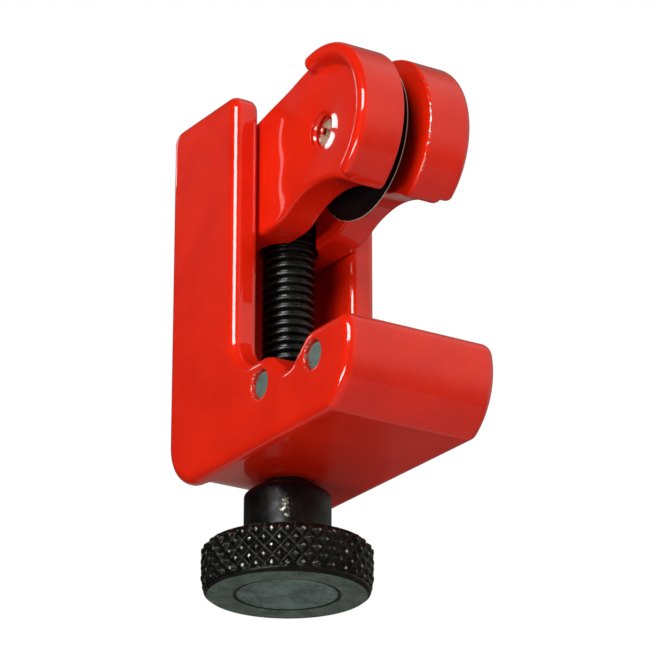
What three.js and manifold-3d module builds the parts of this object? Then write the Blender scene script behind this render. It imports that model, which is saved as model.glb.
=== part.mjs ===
// Mini tube cutter: a C-shaped cast frame, a carriage with a cutting wheel, and a knurled feed knob.
// Millimetres. The origin is the middle of the knob's flat end face. +Z runs up the feed screw,
// +X points from the column to the front of the jaw, and +Y is across the frame.
import * as THREE from 'three';
import { mergeVertices } from 'three/addons/utils/BufferGeometryUtils.js';
import Module from 'manifold-3d';

const wasm = await Module();
wasm.setup();

// ---- clearances ----
const GAP = 0.3; // modelled gap between pieces that touch or run on each other
const TINY = 0.5; // how far a cutting shape reaches past the face it cuts

// ---- knob and feed screw ----
const KNOB_D = 19.0;
const KNOB_DISC_H = 5.6;
const KNOB_CHAMFER = 0.4;
const KNOB_HUB_D = 9.7;
const KNOB_HUB_H = 5.4;
const KNOB_HUB_CHAMFER = 0.8;
const KNOB_NECK_D = 6.1;
const KNOB_NECK_H = 1.5;
const KNOB_BORE_FLOOR = 4.0;
const THREAD_D = 6.0;
const THREAD_PITCH = 1.0;
const THREAD_DEPTH = 0.6;
const THREAD_TURNS = 25;
const JOURNAL_D = 4.4;

// ---- frame ----
const FRAME_W = 19.0;
const FRAME_H = 44.1;
const FRAME_BACK_X = -10.4;
const COLUMN_FRONT_X = 3.6;
const BACK_WALL_T = 3.2;
const CHANNEL_W = 12.3;
const JAW_TOP_H = 10.3;
const NOSE_R = 8.2;
const NOSE_X = 18.7;
const NOSE_H = 7.0;
const NOSE_TOP_R = 1.8;
const JAW_FILLET = 4.2;
const NOTCH_DEPTH = 2.7;
const NOTCH_HALF = 5.2;
const EDGE_R = 1.1;
const CORNER_TOP = 1.8;
const CORNER_BASE = 5.0;
const CORNER_MID = 8.0;
const CORNER_MID_HALF = 7.4;

// ---- rollers ----
const ROLLER_D = 8.0;
const ROLLER_L = 8.4;
const ROLLER_MID_X = 14.6;
const ROLLER_SPACING = 10.6;
const ROLLER_H = 7.0;
const PIN_D = 3.0;
const PIN_RECESS = 0.4;
const PIN_CHAMFER = 0.3;

// ---- carriage ----
const WHEEL_X = 15.3;
const WHEEL_H = 35.65;
const SLIDE_H = 27.4;
const SLIDE_TOP_H = 39.1;
const ARCH_R = 12.2;
const ARCH_X = 14.1;
const ARCH_H = 17.6;
const HEAD_R = 9.6;
const HEAD_X = 16.7;
const HEAD_H = 35.3;
const HEAD_TOP_X = 13.2;
const RIM_T = 1.9;
const RIM_STAND = 1.35;
const RIM_FROM = -58;
const RIM_TO = 107;
const SLOT_W = 3.3;
const SLOT_UP = 4.0;
const CARRIAGE_EDGE = 0.5;

// ---- cutting wheel and its axle screw ----
const WHEEL_D = 18.0;
const WHEEL_HUB_D = 9.0;
const WHEEL_EDGE_W = 0.3;
const AXLE_D = 5.0;
const AXLE_TIP_D = 4.0;
const AXLE_HEAD_D = 8.0;
const AXLE_HEAD_H = 2.0;
const AXLE_TIP_RECESS = 1.4;
const TIP_SLOT_W = 0.9;
const TIP_SLOT_DEPTH = 0.7;

// ---- derived positions ----
const HUB_TOP = KNOB_DISC_H + KNOB_HUB_H;
const NECK_TOP = HUB_TOP + KNOB_NECK_H;
const BASE_Z = NECK_TOP + GAP;
const FLOOR_Z = BASE_Z + JAW_TOP_H;
const FRAME_TOP = BASE_Z + FRAME_H;
const CHANNEL_BACK = FRAME_BACK_X + BACK_WALL_T;
const THREAD_FROM = FLOOR_Z + GAP;
const THREAD_TOP = THREAD_FROM + THREAD_TURNS * THREAD_PITCH;
const ROLLER_Z = BASE_Z + ROLLER_H;
const REAR_X = ROLLER_MID_X - ROLLER_SPACING / 2;
const FRONT_X = ROLLER_MID_X + ROLLER_SPACING / 2;
const WHEEL_Z = BASE_Z + WHEEL_H;
const CARRIAGE_W = CHANNEL_W - 2 * GAP;
const CARRIAGE_BACK = CHANNEL_BACK + GAP;
const WHEEL_W = SLOT_W - 2 * GAP;

// ---- geometry helpers ----
function weld(geometry) {
  geometry.deleteAttribute('normal');
  geometry.deleteAttribute('uv');
  return mergeVertices(geometry, 1e-4);
}

function solid(geometry) {
  const g = weld(geometry);
  return new wasm.Manifold(
    new wasm.Mesh({
      numProp: 3,
      vertProperties: new Float32Array(g.attributes.position.array),
      triVerts: new Uint32Array(g.index.array),
    }),
  );
}

function geometryOf(body) {
  const mesh = body.getMesh();
  const g = new THREE.BufferGeometry();
  g.setAttribute('position', new THREE.BufferAttribute(new Float32Array(mesh.vertProperties), 3));
  g.setIndex(new THREE.BufferAttribute(new Uint32Array(mesh.triVerts), 1));
  return g;
}

function box(x0, x1, y0, y1, z0, z1) {
  const g = new THREE.BoxGeometry(x1 - x0, y1 - y0, z1 - z0);
  g.translate((x0 + x1) / 2, (y0 + y1) / 2, (z0 + z1) / 2);
  return solid(g);
}

// a turned shape about +Z from a closed profile of [radius, z] points
function turned(points, segments = 48) {
  const profile = points.map(([r, z]) => new THREE.Vector2(r, z));
  const g = new THREE.LatheGeometry(profile, segments);
  g.rotateX(Math.PI / 2);
  return g;
}

function rod(radius, z0, z1, segments = 40) {
  const g = new THREE.CylinderGeometry(radius, radius, z1 - z0, segments);
  g.rotateX(Math.PI / 2);
  g.translate(0, 0, (z0 + z1) / 2);
  return solid(g);
}

// a cylinder across the frame, from y0 to y1, about the axis at (x, z)
function crossRod(radius, x, z, y0, y1, segments = 40) {
  const g = new THREE.CylinderGeometry(radius, radius, y1 - y0, segments);
  g.translate(x, (y0 + y1) / 2, z);
  return solid(g);
}

// a closed profile in X and Z, drawn across the frame's width, with rounded or plain side edges
function acrossFrame(shape, width, edge, curveSegments = 10) {
  const outline = [];
  for (const p of shape.getPoints(curveSegments)) {
    const last = outline[outline.length - 1];
    if (!last || last.distanceTo(p) > 0.02) outline.push(p);
  }
  if (outline[0].distanceTo(outline[outline.length - 1]) < 0.02) outline.pop();
  const g = new THREE.ExtrudeGeometry(new THREE.Shape(outline), {
    depth: width - 2 * edge,
    bevelEnabled: edge > 0,
    bevelThickness: edge,
    bevelSize: edge,
    bevelOffset: -edge,
    bevelSegments: 3,
  });
  g.translate(0, 0, -(width - 2 * edge) / 2);
  g.rotateX(Math.PI / 2);
  return solid(g);
}

function named(name, geometry, colour, metalness, roughness) {
  const material = new THREE.MeshStandardMaterial({ color: colour, metalness, roughness });
  material.name = name;
  const mesh = new THREE.Mesh(geometry, material);
  mesh.name = name;
  return mesh;
}

// ---- frame body ----
function frameProfile() {
  const top = BASE_Z + JAW_TOP_H;
  const noseStart = -Math.acos((22.7 - NOSE_X) / NOSE_R);
  const noseEnd = Math.asin((JAW_TOP_H - NOSE_TOP_R - NOSE_H) / NOSE_R);
  const noseX = NOSE_X + NOSE_R * Math.cos(noseEnd);
  const s = new THREE.Shape();
  s.moveTo(FRAME_BACK_X + CORNER_BASE, BASE_Z);
  s.absarc(NOSE_X, BASE_Z + NOSE_H, NOSE_R, noseStart, noseEnd, false);
  s.quadraticCurveTo(noseX - 0.3, top, noseX - NOSE_TOP_R - 0.4, top);
  s.lineTo(ROLLER_MID_X + NOTCH_HALF + 0.6, top);
  s.quadraticCurveTo(ROLLER_MID_X + 4.3, top, ROLLER_MID_X + 3.0, top - 1.2);
  s.lineTo(ROLLER_MID_X + 1.6, top - NOTCH_DEPTH + 0.5);
  s.quadraticCurveTo(ROLLER_MID_X, top - NOTCH_DEPTH - 0.8, ROLLER_MID_X - 1.6, top - NOTCH_DEPTH + 0.5);
  s.lineTo(ROLLER_MID_X - 2.8, top - 1.0);
  s.quadraticCurveTo(ROLLER_MID_X - 4.0, top, ROLLER_MID_X - NOTCH_HALF, top);
  s.lineTo(COLUMN_FRONT_X + JAW_FILLET, top);
  s.absarc(COLUMN_FRONT_X + JAW_FILLET, top + JAW_FILLET, JAW_FILLET, -Math.PI / 2, -Math.PI, true);
  s.lineTo(COLUMN_FRONT_X, FRAME_TOP - CORNER_TOP);
  s.absarc(COLUMN_FRONT_X - CORNER_TOP, FRAME_TOP - CORNER_TOP, CORNER_TOP, 0, Math.PI / 2, false);
  s.lineTo(FRAME_BACK_X + CORNER_TOP, FRAME_TOP);
  s.absarc(FRAME_BACK_X + CORNER_TOP, FRAME_TOP - CORNER_TOP, CORNER_TOP, Math.PI / 2, Math.PI, false);
  s.lineTo(FRAME_BACK_X, BASE_Z + CORNER_BASE);
  s.absarc(
    FRAME_BACK_X + CORNER_BASE,
    BASE_Z + CORNER_BASE,
    CORNER_BASE,
    Math.PI,
    (3 * Math.PI) / 2,
    false,
  );
  return s;
}

function frameBody() {
  const half = CHANNEL_W / 2;
  const pocketHalf = ROLLER_L / 2 + GAP;
  const pocketR = ROLLER_D / 2 + 0.4;
  const above = FRAME_TOP + TINY;
  let body = acrossFrame(frameProfile(), FRAME_W, EDGE_R);
  const channel = box(CHANNEL_BACK, COLUMN_FRONT_X + JAW_FILLET, -half, half, FLOOR_Z, above);
  body = body.subtract(channel);
  for (const x of [REAR_X, FRONT_X]) {
    body = body.subtract(crossRod(pocketR, x, ROLLER_Z, -pocketHalf, pocketHalf));
    body = body.subtract(box(x - pocketR, x + pocketR, -pocketHalf, pocketHalf, ROLLER_Z, above));
    const reach = FRAME_W / 2 + TINY;
    body = body.subtract(crossRod(PIN_D / 2 + GAP, x, ROLLER_Z, -reach, reach, 32));
  }
  body = body.subtract(
    box(REAR_X, FRONT_X, -pocketHalf, pocketHalf, ROLLER_Z - pocketR + 0.02, above),
  );
  body = body.subtract(rod(JOURNAL_D / 2 + GAP, BASE_Z - TINY, FLOOR_Z + TINY));
  const midX = FRAME_BACK_X + CORNER_MID;
  const midZ = BASE_Z + CORNER_MID;
  const foot = box(FRAME_BACK_X - TINY, midX, -CORNER_MID_HALF, CORNER_MID_HALF, BASE_Z - TINY, midZ);
  const round = crossRod(CORNER_MID, midX, midZ, -CORNER_MID_HALF - TINY, CORNER_MID_HALF + TINY, 96);
  body = body.subtract(foot.subtract(round));
  return geometryOf(body);
}

// ---- carriage ----
function carriageProfile() {
  const bottom = BASE_Z + SLIDE_H;
  const slideTop = BASE_Z + SLIDE_TOP_H;
  const archZ = BASE_Z + ARCH_H;
  const headZ = BASE_Z + HEAD_H;
  const archStart = Math.PI - Math.asin((bottom - archZ) / ARCH_R);
  const rimStart = THREE.MathUtils.degToRad(RIM_FROM);
  const headEnd = Math.acos((HEAD_TOP_X - HEAD_X) / HEAD_R);
  const tipX = HEAD_X + (HEAD_R - 0.4) * Math.cos(rimStart);
  const tipZ = headZ + (HEAD_R - 0.4) * Math.sin(rimStart);
  const archEnd = Math.atan2(tipZ - archZ, tipX - 0.9 - ARCH_X);
  const s = new THREE.Shape();
  s.moveTo(CARRIAGE_BACK, bottom);
  s.absarc(ARCH_X, archZ, ARCH_R, archStart, archEnd, true);
  s.lineTo(tipX, tipZ);
  s.absarc(HEAD_X, headZ, HEAD_R, rimStart, headEnd, false);
  s.lineTo(CARRIAGE_BACK, slideTop);
  return s;
}

function rimProfile() {
  const z = BASE_Z + HEAD_H;
  const from = THREE.MathUtils.degToRad(RIM_FROM + 1);
  const to = THREE.MathUtils.degToRad(RIM_TO);
  const s = new THREE.Shape();
  s.absarc(HEAD_X, z, HEAD_R, from, to, false);
  s.absarc(HEAD_X, z, HEAD_R - RIM_T, to, from, true);
  return s;
}

function carriage() {
  const reach = CARRIAGE_W / 2 + RIM_STAND + TINY;
  const slot = SLOT_W / 2;
  const axle = AXLE_D / 2 + GAP;
  const clear = WHEEL_D / 2 + 0.6;
  const headBottom = CARRIAGE_W / 2 - AXLE_HEAD_H - GAP;
  let body = acrossFrame(carriageProfile(), CARRIAGE_W, CARRIAGE_EDGE);
  body = body.add(acrossFrame(rimProfile(), CARRIAGE_W + 2 * RIM_STAND, CARRIAGE_EDGE));
  body = body.subtract(crossRod(clear, WHEEL_X, WHEEL_Z, -slot, slot, 56));
  body = body.subtract(
    box(WHEEL_X, WHEEL_X + 20, -slot, slot, WHEEL_Z - 20, WHEEL_Z + 20),
  );
  body = body.subtract(
    box(0, WHEEL_X, -slot, slot, BASE_Z + SLIDE_H - TINY, BASE_Z + SLIDE_H + SLOT_UP),
  );
  body = body.subtract(crossRod(axle, WHEEL_X, WHEEL_Z, 0, reach));
  body = body.subtract(crossRod(AXLE_TIP_D / 2 + GAP, WHEEL_X, WHEEL_Z, -reach, 0));
  body = body.subtract(
    crossRod(AXLE_HEAD_D / 2 + GAP, WHEEL_X, WHEEL_Z, headBottom, reach),
  );
  body = body.subtract(rod(THREAD_D / 2 + GAP, BASE_Z + SLIDE_H - TINY, FRAME_TOP + TINY));
  return geometryOf(body);
}

// ---- turned pieces ----
function knob() {
  const r = KNOB_D / 2;
  const hub = KNOB_HUB_D / 2;
  const neck = KNOB_NECK_D / 2;
  const bore = JOURNAL_D / 2 + GAP;
  return weld(
    turned([
      [0, 0],
      [r - KNOB_CHAMFER, 0],
      [r, KNOB_CHAMFER],
      [r, KNOB_DISC_H - KNOB_CHAMFER / 2],
      [r - KNOB_CHAMFER / 2, KNOB_DISC_H],
      [hub, KNOB_DISC_H],
      [hub, HUB_TOP - KNOB_HUB_CHAMFER],
      [hub - KNOB_HUB_CHAMFER, HUB_TOP],
      [neck, HUB_TOP],
      [neck, NECK_TOP],
      [bore, NECK_TOP],
      [bore, KNOB_BORE_FLOOR],
      [0, KNOB_BORE_FLOOR],
    ]),
  );
}

function feedScrew() {
  const r = THREAD_D / 2;
  const root = r - THREAD_DEPTH;
  const journal = JOURNAL_D / 2;
  const points = [
    [0, KNOB_BORE_FLOOR + GAP],
    [journal, KNOB_BORE_FLOOR + GAP],
    [journal, THREAD_FROM],
    [root, THREAD_FROM],
  ];
  for (let i = 0; i < THREAD_TURNS; i += 1) {
    const z = THREAD_FROM + i * THREAD_PITCH;
    points.push([r, z + THREAD_PITCH * 0.42]);
    points.push([r, z + THREAD_PITCH * 0.58]);
    points.push([root, z + THREAD_PITCH]);
  }
  points.push([0, THREAD_TOP]);
  return weld(turned(points, 24));
}

// turned pieces that lie across the frame are drawn about +Z and then laid along +Y
function laidAcross(geometry, x, z) {
  geometry.rotateX(-Math.PI / 2);
  geometry.translate(x, 0, z);
  return geometry;
}

function rollerPin(x) {
  const r = PIN_D / 2;
  const half = FRAME_W / 2 - PIN_RECESS;
  const g = turned(
    [
      [0, -half],
      [r - PIN_CHAMFER, -half],
      [r, -half + PIN_CHAMFER],
      [r, half - PIN_CHAMFER],
      [r - PIN_CHAMFER, half],
      [0, half],
    ],
    32,
  );
  return weld(laidAcross(g, x, ROLLER_Z));
}

function roller(x) {
  const r = ROLLER_D / 2;
  const bore = PIN_D / 2 + GAP;
  const half = ROLLER_L / 2;
  const g = turned(
    [
      [bore, -half],
      [r - PIN_CHAMFER, -half],
      [r, -half + PIN_CHAMFER],
      [r, half - PIN_CHAMFER],
      [r - PIN_CHAMFER, half],
      [bore, half],
      [bore, -half],
    ],
    48,
  );
  return weld(laidAcross(g, x, ROLLER_Z));
}

function cuttingWheel() {
  const r = WHEEL_D / 2;
  const hub = WHEEL_HUB_D / 2;
  const bore = AXLE_D / 2 + GAP;
  const half = WHEEL_W / 2;
  const edge = WHEEL_EDGE_W / 2;
  const g = turned(
    [
      [bore, -half],
      [hub, -half],
      [r, -edge],
      [r, edge],
      [hub, half],
      [bore, half],
      [bore, -half],
    ],
    72,
  );
  return weld(laidAcross(g, WHEEL_X, WHEEL_Z));
}

function wheelAxleScrew() {
  const r = AXLE_D / 2;
  const end = AXLE_TIP_D / 2;
  const shoulder = -WHEEL_W / 2;
  const head = AXLE_HEAD_D / 2;
  const outer = CARRIAGE_W / 2;
  const tip = -outer + AXLE_TIP_RECESS;
  const g = turned(
    [
      [0, tip],
      [end - PIN_CHAMFER, tip],
      [end, tip + PIN_CHAMFER],
      [end, shoulder],
      [r, shoulder],
      [r, outer - AXLE_HEAD_H],
      [head, outer - AXLE_HEAD_H],
      [head, outer - PIN_CHAMFER],
      [head - PIN_CHAMFER, outer],
      [0, outer],
    ],
    40,
  );
  const body = solid(laidAcross(g, WHEEL_X, WHEEL_Z));
  const cut = box(
    WHEEL_X - TIP_SLOT_W / 2,
    WHEEL_X + TIP_SLOT_W / 2,
    tip - TINY,
    tip + TIP_SLOT_DEPTH,
    WHEEL_Z - r - TINY,
    WHEEL_Z + r + TINY,
  );
  return geometryOf(body.subtract(cut));
}

// ---- assembly ----
const cutter = new THREE.Group();
cutter.name = 'mini_tube_cutter';
cutter.add(named('frame_body', frameBody(), 0xd2140c, 0.0, 0.25));
cutter.add(named('carriage', carriage(), 0xd2140c, 0.0, 0.25));
cutter.add(named('knob', knob(), 0x1b1b1d, 0.8, 0.45));
cutter.add(named('feed_screw', feedScrew(), 0x17181a, 0.8, 0.4));
cutter.add(named('roller_pin_rear', rollerPin(REAR_X), 0x8d9799, 1.0, 0.35));
cutter.add(named('roller_pin_front', rollerPin(FRONT_X), 0x8d9799, 1.0, 0.35));
cutter.add(named('roller_rear', roller(REAR_X), 0xa9adb0, 1.0, 0.3));
cutter.add(named('roller_front', roller(FRONT_X), 0xa9adb0, 1.0, 0.3));
cutter.add(named('cutting_wheel', cuttingWheel(), 0x101012, 0.8, 0.35));
cutter.add(named('wheel_axle_screw', wheelAxleScrew(), 0xb9a878, 1.0, 0.35));

export default cutter;
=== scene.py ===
"""Looks of a mini tube cutter: an enamelled cast frame and carriage, a knurled feed knob, and a cutting wheel.

All sizes are in millimetres in the part's own frame: +Z runs up the feed screw from the knob's end face,
+X points from the column to the front of the jaw, and +Y lies across the frame. Meshes are written in metres.
"""

import logging
import math
from collections.abc import Callable, Sequence
from dataclasses import dataclass, field
from enum import Enum

import bpy
import numpy as np
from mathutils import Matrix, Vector


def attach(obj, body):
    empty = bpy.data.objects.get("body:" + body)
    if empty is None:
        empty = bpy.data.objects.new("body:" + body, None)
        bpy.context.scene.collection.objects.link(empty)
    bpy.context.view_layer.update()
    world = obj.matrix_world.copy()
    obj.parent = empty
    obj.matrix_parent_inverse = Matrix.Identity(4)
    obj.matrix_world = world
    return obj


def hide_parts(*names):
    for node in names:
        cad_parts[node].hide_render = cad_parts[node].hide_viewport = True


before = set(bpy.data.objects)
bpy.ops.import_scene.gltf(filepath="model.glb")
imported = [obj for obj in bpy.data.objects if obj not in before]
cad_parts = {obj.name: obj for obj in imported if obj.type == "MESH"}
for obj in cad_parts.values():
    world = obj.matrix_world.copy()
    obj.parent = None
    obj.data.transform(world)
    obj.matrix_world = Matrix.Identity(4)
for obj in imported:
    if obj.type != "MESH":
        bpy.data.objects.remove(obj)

MM = 0.001
TURN = 2.0 * math.pi
LOG = logging.getLogger("tube_cutter")
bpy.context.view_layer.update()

Array = np.ndarray
Field = Callable[[Array, Array, Array], Array]
Tint = tuple[int, int, int]
Scales = tuple[float, float, float]
Piece = bpy.types.Object
Material = bpy.types.Material
Tree = bpy.types.NodeTree
Node = bpy.types.Node
Socket = bpy.types.NodeSocket


# ---------------------------------------------------------------- distances and blends
def round_cut(body: Array, tool: Array, radius: float) -> Array:
    """Cuts a tool from a body and rounds the new edge.

    Formula: the greater of the body's distance and minus the tool's, with a quarter circle where both are near zero.

    Args:
        body: Signed distance to the body.
        tool: Signed distance to the shape taken away.
        radius: Radius of the rounded edge.

    Returns:
        Signed distance to what is left.
    """
    return round_overlap(body, -tool, radius)


def round_overlap(first: Array, second: Array, radius: float) -> Array:
    """Keeps what two shapes share, with a convex edge of the given radius between them.

    Args:
        first: Signed distance to one shape.
        second: Signed distance to the other.
        radius: Radius of the rounded edge.

    Returns:
        Signed distance to the shared shape.
    """
    a = np.maximum(first + radius, 0.0)
    b = np.maximum(second + radius, 0.0)
    return np.minimum(np.maximum(first, second), -radius) + np.hypot(a, b)


def round_join(first: Array, second: Array, radius: float) -> Array:
    """Joins two shapes with a concave fillet of the given radius between them.

    Args:
        first: Signed distance to one shape.
        second: Signed distance to the other.
        radius: Radius of the fillet.

    Returns:
        Signed distance to the joined shape.
    """
    a = np.maximum(radius - first, 0.0)
    b = np.maximum(radius - second, 0.0)
    return np.maximum(np.minimum(first, second), radius) - np.hypot(a, b)


def block(x: Array, y: Array, z: Array, low: Sequence[float], high: Sequence[float], radius: float) -> Array:
    """Signed distance to a box with rounded edges.

    Formula: the distance to a box smaller by the radius on every side, less the radius.

    Args:
        x: X of the points.
        y: Y of the points.
        z: Z of the points.
        low: Lowest corner.
        high: Highest corner.
        radius: Radius of every edge.

    Returns:
        Signed distance.
    """
    gaps = [
        np.abs(v - (a + b) / 2) - (b - a) / 2 + radius
        for v, a, b in zip((x, y, z), low, high)
    ]
    outside = np.sqrt(sum(np.maximum(g, 0.0) ** 2 for g in gaps))
    inside = np.minimum(np.maximum(np.maximum(gaps[0], gaps[1]), gaps[2]), 0.0)
    return outside + inside - radius


@dataclass(frozen=True)
class Arc:
    """One arc of an outline in X and Z, from one angle to another in degrees; a falling angle is a hollow arc."""

    x: float
    z: float
    radius: float
    start: float
    end: float

    def point(self, degrees: float) -> tuple[float, float]:
        """The point of the arc's circle at an angle."""
        a = math.radians(degrees)
        return self.x + self.radius * math.cos(a), self.z + self.radius * math.sin(a)


@dataclass
class Outline:
    """A closed smooth outline made of arcs joined by straight lines, with the material on its left."""

    arcs: list[Arc]

    def distance(self, x: Array, z: Array) -> Array:
        """Signed distance to the outline.

        Formula: the distance to each arc and line in turn, of which the nearest one's is kept with the sign of the
        side of it that the point lies on. The outline has no corners, so that sign holds everywhere.

        Args:
            x: X of the points.
            z: Z of the points.

        Returns:
            Signed distance, negative in the material.
        """
        x, z = np.broadcast_arrays(x, z)
        best = np.full(x.shape, 1e9)
        signed = np.full(x.shape, 1e9)
        for arc, following in zip(self.arcs, self.arcs[1:] + self.arcs[:1]):
            hollow = arc.end < arc.start
            middle = math.radians((arc.start + arc.end) / 2)
            reach = math.radians(abs(arc.end - arc.start) / 2)
            dx, dz = x - arc.x, z - arc.z
            off_middle = np.arctan2(
                dz * math.cos(middle) - dx * math.sin(middle), dx * math.cos(middle) + dz * math.sin(middle)
            )
            gap = np.hypot(dx, dz) - arc.radius
            near = (np.abs(off_middle) <= reach + 1e-9) & (np.abs(gap) < best)
            best = np.where(near, np.abs(gap), best)
            signed = np.where(near, -gap if hollow else gap, signed)
            (ax, az), (bx, bz) = arc.point(arc.end), following.point(following.start)
            length = math.hypot(bx - ax, bz - az)
            if length < 1e-6:
                continue
            ux, uz = (bx - ax) / length, (bz - az) / length
            along = np.clip((x - ax) * ux + (z - az) * uz, 0.0, length)
            away = np.hypot(x - ax - along * ux, z - az - along * uz)
            side = (x - ax) * uz - (z - az) * ux
            near = away < best
            best = np.where(near, away, best)
            signed = np.where(near, np.copysign(away, side), signed)
        return signed


def smoothed(value: Array, low: float, span: float) -> Array:
    """Rises smoothly from 0 to 1 as a value goes from a low end across a span."""
    t = np.clip((value - low) / span, 0, 1)
    return t * t * (3 - 2 * t)


def plate(flat: Array, y: Array, half: float, radius: float) -> Array:
    """Gives a flat shape a thickness across the frame, with rounded side edges.

    Args:
        flat: Signed distance to the flat shape in X and Z.
        y: Y of the points.
        half: Half the thickness.
        radius: Radius of the side edges.

    Returns:
        Signed distance to the solid.
    """
    return round_overlap(flat, np.abs(y) - half, radius)


# ---------------------------------------------------------------- meshes
def shell(field_of: Field, low: Sequence[float], high: Sequence[float], cell: float) -> tuple[Array, Array, Array]:
    """Lays a skin of quads on the zero level of a signed distance, for a casting whose blends no grid can follow.

    Formula: each grid cell that the surface crosses gets one vertex at the mean of its edges' crossings, each crossed
    edge joins the four vertices round it, and each vertex then slides down the distance's slope to the zero level.

    Args:
        field_of: Signed distance in millimetres, for arrays of X, Y and Z.
        low: Lowest corner of the grid.
        high: Highest corner of the grid.
        cell: Spacing of the grid.

    Returns:
        Vertices, quads and outward normals.
    """
    axes = [np.arange(a - 1.5 * cell, b + 2.5 * cell, cell) for a, b in zip(low, high)]
    value = field_of(axes[0][:, None, None], axes[1][None, :, None], axes[2][None, None, :])
    value = np.where(np.abs(value) < 1e-9, 1e-9, value)
    inside = value < 0
    shape = tuple(len(a) - 1 for a in axes)
    total = np.zeros(shape + (3,))
    count = np.zeros(shape)
    grid = np.stack(np.meshgrid(*axes, indexing="ij"), -1)
    crossings = []
    for axis in range(3):
        first = tuple(slice(None, -1) if k == axis else slice(None) for k in range(3))
        second = tuple(slice(1, None) if k == axis else slice(None) for k in range(3))
        crossed = inside[first] != inside[second]
        share = np.where(crossed, value[first] / np.where(crossed, value[first] - value[second], 1.0), 0.0)
        point = grid[first].copy()
        point[..., axis] += share * cell
        point *= crossed[..., None]
        crossings.append((crossed, inside[first]))
        others = [k for k in range(3) if k != axis]
        for a in (0, 1):
            for b in (0, 1):
                window = [slice(None)] * 3
                window[others[0]] = slice(a, a + shape[others[0]])
                window[others[1]] = slice(b, b + shape[others[1]])
                total += point[tuple(window)]
                count += crossed[tuple(window)]
    used = count > 0
    number = np.full(shape, -1, dtype=np.int64)
    number[used] = np.arange(int(used.sum()))
    vertices = total[used] / count[used][:, None]
    faces = []
    for axis, (crossed, starts_inside) in enumerate(crossings):
        spot = np.argwhere(crossed)
        out = starts_inside[crossed]
        b, c = (axis + 1) % 3, (axis + 2) % 3
        corners = []
        for db, dc in ((1, 1), (0, 1), (0, 0), (1, 0)):
            cell_at = spot.copy()
            cell_at[:, b] -= db
            cell_at[:, c] -= dc
            corners.append(number[cell_at[:, 0], cell_at[:, 1], cell_at[:, 2]])
        quad = np.stack(corners, -1)
        faces.append(np.where(out[:, None], quad, quad[:, ::-1]))
    quads = np.concatenate(faces)
    normals = np.zeros_like(vertices)
    for step in (cell * 0.1, cell * 0.1, cell * 0.05, cell * 0.05):
        here, slope = _slope(field_of, vertices, step)
        normals = slope / np.maximum(np.linalg.norm(slope, axis=1, keepdims=True), 1e-9)
        vertices = vertices - np.clip(here, -cell, cell)[:, None] * normals
    return vertices, quads, normals


def _slope(field_of: Field, points: Array, step: float) -> tuple[Array, Array]:
    """Finds a signed distance and its slope at a list of points.

    Formula: the slope along each axis is the difference across the point over twice the step.

    Args:
        field_of: Signed distance, for arrays of X, Y and Z.
        points: One row for each point.
        step: How far to each side the distance is read.

    Returns:
        The distances, and the slopes with one row for each point.
    """
    here = field_of(*points.T)
    parts = []
    for axis in range(3):
        shift = np.zeros(3)
        shift[axis] = step
        parts.append((field_of(*(points + shift).T) - field_of(*(points - shift).T)) / (2 * step))
    return here, np.stack(parts, -1)


def turned_grid(radius: Array, height: Array, around: int) -> tuple[Array, Array]:
    """Closes a surface of revolution, or one whose radius changes round it, into a mesh with both ends shut.

    Formula: the point of row i and column j lies at radius[i, j] from the axis, at height[i, j] along it and at the
    angle 2 pi j / around. The first and last rows shrink to one point on the axis.

    Args:
        radius: Radius of every grid point, rows by columns.
        height: Height of every grid point, rows by columns.
        around: Number of columns.

    Returns:
        Vertices and faces, with the faces outward when the rows run up the outside.
    """
    angle = TURN * np.arange(around) / around
    rows = radius.shape[0]
    ring = np.stack([radius * np.cos(angle), radius * np.sin(angle), np.broadcast_to(height, radius.shape)], -1)
    poles = np.array([[0.0, 0.0, height[0].mean()], [0.0, 0.0, height[-1].mean()]])
    vertices = np.concatenate([ring.reshape(-1, 3), poles])
    i, j = np.meshgrid(np.arange(rows - 1), np.arange(around), indexing="ij")
    right = (j + 1) % around
    quads = np.stack([i * around + j, i * around + right, (i + 1) * around + right, (i + 1) * around + j], -1)
    column = np.arange(around)
    following = (column + 1) % around
    low = np.stack([np.full(around, rows * around), following, column], -1)
    last = (rows - 1) * around
    high = np.stack([np.full(around, rows * around + 1), last + column, last + following], -1)
    return vertices, [*quads.reshape(-1, 4).tolist(), *low.tolist(), *high.tolist()]


def resampled(points: Sequence[tuple[float, float]], spacing: float) -> Array:
    """Puts evenly spaced points on every straight stretch of a profile, and keeps its corners.

    Args:
        points: Corners of the profile as pairs.
        spacing: Greatest distance between neighbours.

    Returns:
        The finer profile, one row for each point.
    """
    parts = []
    for a, b in zip(points[:-1], points[1:]):
        steps = max(1, math.ceil(math.dist(a, b) / spacing))
        share = np.arange(steps)[:, None] / steps
        parts.append(np.array(a) * (1 - share) + np.array(b) * share)
    return np.concatenate([*parts, np.array([points[-1]])])


def eased(points: Sequence[tuple[float, float]], radius: float, steps: int = 4) -> list[tuple[float, float]]:
    """Rounds the inner corners of a profile with short quadratic curves.

    Formula: each corner gives way to the curve (1 - t)^2 a + 2 t (1 - t) corner + t^2 b between the points a and b that
    lie the radius away from it, or half a side where the side is short.

    Args:
        points: Corners of the profile.
        radius: How far from a corner its curve starts.
        steps: Number of stretches in each curve.

    Returns:
        Corners of the rounded profile.
    """
    out = [points[0]]
    for before, corner, after in zip(points[:-2], points[1:-1], points[2:]):
        c = np.array(corner)
        ends = []
        for other in (before, after):
            run = np.array(other) - c
            length = float(np.linalg.norm(run))
            ends.append(c + run / length * min(radius, length * 0.45))
        t = np.linspace(0, 1, steps + 1)[:, None]
        curve = (1 - t) ** 2 * ends[0] + 2 * t * (1 - t) * c + t**2 * ends[1]
        out.extend(tuple(p) for p in curve)
    out.append(points[-1])
    return out


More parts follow.
